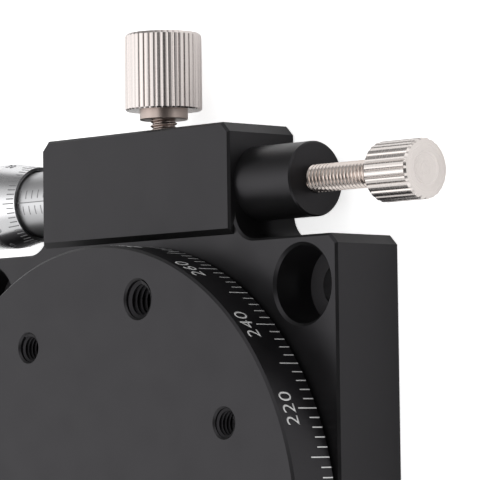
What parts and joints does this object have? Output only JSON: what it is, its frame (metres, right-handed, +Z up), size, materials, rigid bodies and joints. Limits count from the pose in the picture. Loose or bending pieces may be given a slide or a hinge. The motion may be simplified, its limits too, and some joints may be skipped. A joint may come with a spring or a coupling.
{
  "type": "rotation stage",
  "caption": "Low square manual rotation stage: full-turn graduated table, micrometer fine drive with spring plunger, and a clamp screw.",
  "frame": {"origin": "on the turning axis, in the plane of the base's bottom face", "axes": "+Z up along the turning axis, out of the table's face; +Y from the axis towards the drive block; +X towards the preload knob, so the micrometer's thimble points to -X"},
  "size_m": [0.0823, 0.0831, 0.015],
  "materials": {
    "black_anodised": "black anodised, fine satin",
    "table_anodised": "black anodised, fine satin, white marked scale on the rim",
    "steel": "turned and ground",
    "hard_steel": "hardened and ground",
    "screw_steel": "plain",
    "black_screw": "black oxide",
    "brass": "turned",
    "nickel": "nickel plated",
    "satin_chrome": "satin chrome"
  },
  "bodies": {
    "base": {"base": "black_anodised", "bearing_inner_race": "hard_steel", "bearing_cap": "steel", "cap_screws": "screw_steel", "mic_sleeve": "satin_chrome", "mic_nut": "brass", "mic_set_screw": "black_screw", "plunger_housing": "black_anodised", "plunger_spring": "steel"},
    "lever": {"lever": "steel", "contact_buttons": "hard_steel"},
    "table": {"table": "table_anodised", "bearing_outer_race": "hard_steel", "race_ring": "steel"},
    "ball_set": {"bearing_balls": "hard_steel", "bearing_cage": "brass"},
    "lock_slider": {"lock_pad": "brass"},
    "lock_turner": {"lock_screw": "nickel", "lock_knob": "nickel"},
    "spindle": {"mic_spindle": "hard_steel"},
    "thimble": {"mic_thimble": "satin_chrome", "thimble_cap": "satin_chrome"},
    "plunger": {"plunger": "steel"},
    "seat": {"spring_seat": "brass"},
    "preload_turner": {"preload_screw": "nickel", "preload_knob": "nickel"}
  },
  "joints": [
    {"name": "lever_turn", "type": "hinge", "parent": "base", "child": "lever", "pos_m": [0, 0, 0.005], "axis": [0, 0, 1], "range_deg": [-5, 5]},
    {"name": "table_turn", "type": "hinge", "parent": "lever", "child": "table", "pos_m": [0, 0, 0.005], "axis": [0, 0, 1], "continuous": true},
    {"name": "ball_set_turn", "type": "hinge", "parent": "lever", "child": "ball_set", "pos_m": [0, 0, 0.005], "axis": [0, 0, 1], "continuous": true},
    {"name": "lock_travel", "type": "slide", "parent": "lever", "child": "lock_slider", "axis": [0, 1, 0], "range_m": [-0.00025, 0.001]},
    {"name": "lock_turn", "type": "hinge", "parent": "lock_slider", "child": "lock_turner", "pos_m": [0, 0.044, 0.005], "axis": [0, 1, 0], "range_deg": [-182, 722]},
    {"name": "spindle_travel", "type": "slide", "parent": "base", "child": "spindle", "axis": [1, 0, 0], "range_m": [-0.00313, 0.00313]},
    {"name": "thimble_turn", "type": "hinge", "parent": "spindle", "child": "thimble", "pos_m": [-0.03, 0.036, 0.005], "axis": [1, 0, 0], "range_deg": [-2253, 2253]},
    {"name": "plunger_travel", "type": "slide", "parent": "base", "child": "plunger", "axis": [1, 0, 0], "range_m": [-0.00315, 0.00315], "deforming": ["plunger_spring"]},
    {"name": "seat_travel", "type": "slide", "parent": "base", "child": "seat", "axis": [1, 0, 0], "range_m": [-0.002, 0.0005], "deforming": ["plunger_spring"]},
    {"name": "preload_turn", "type": "hinge", "parent": "seat", "child": "preload_turner", "pos_m": [0.03, 0.036, 0.005], "axis": [1, 0, 0], "range_deg": [-1443, 363]}
  ],
  "couplings": [
    {"joint": "thimble_turn", "follows": "spindle_travel", "rad_per_m": 12566},
    {"joint": "lever_turn", "follows": "spindle_travel", "rad_per_m": -27.778},
    {"joint": "plunger_travel", "follows": "spindle_travel", "ratio": 1},
    {"joint": "ball_set_turn", "follows": "table_turn", "ratio": 0.5},
    {"joint": "lock_turn", "follows": "lock_travel", "rad_per_m": 12566},
    {"joint": "preload_turn", "follows": "seat_travel", "rad_per_m": 12566}
  ]
}
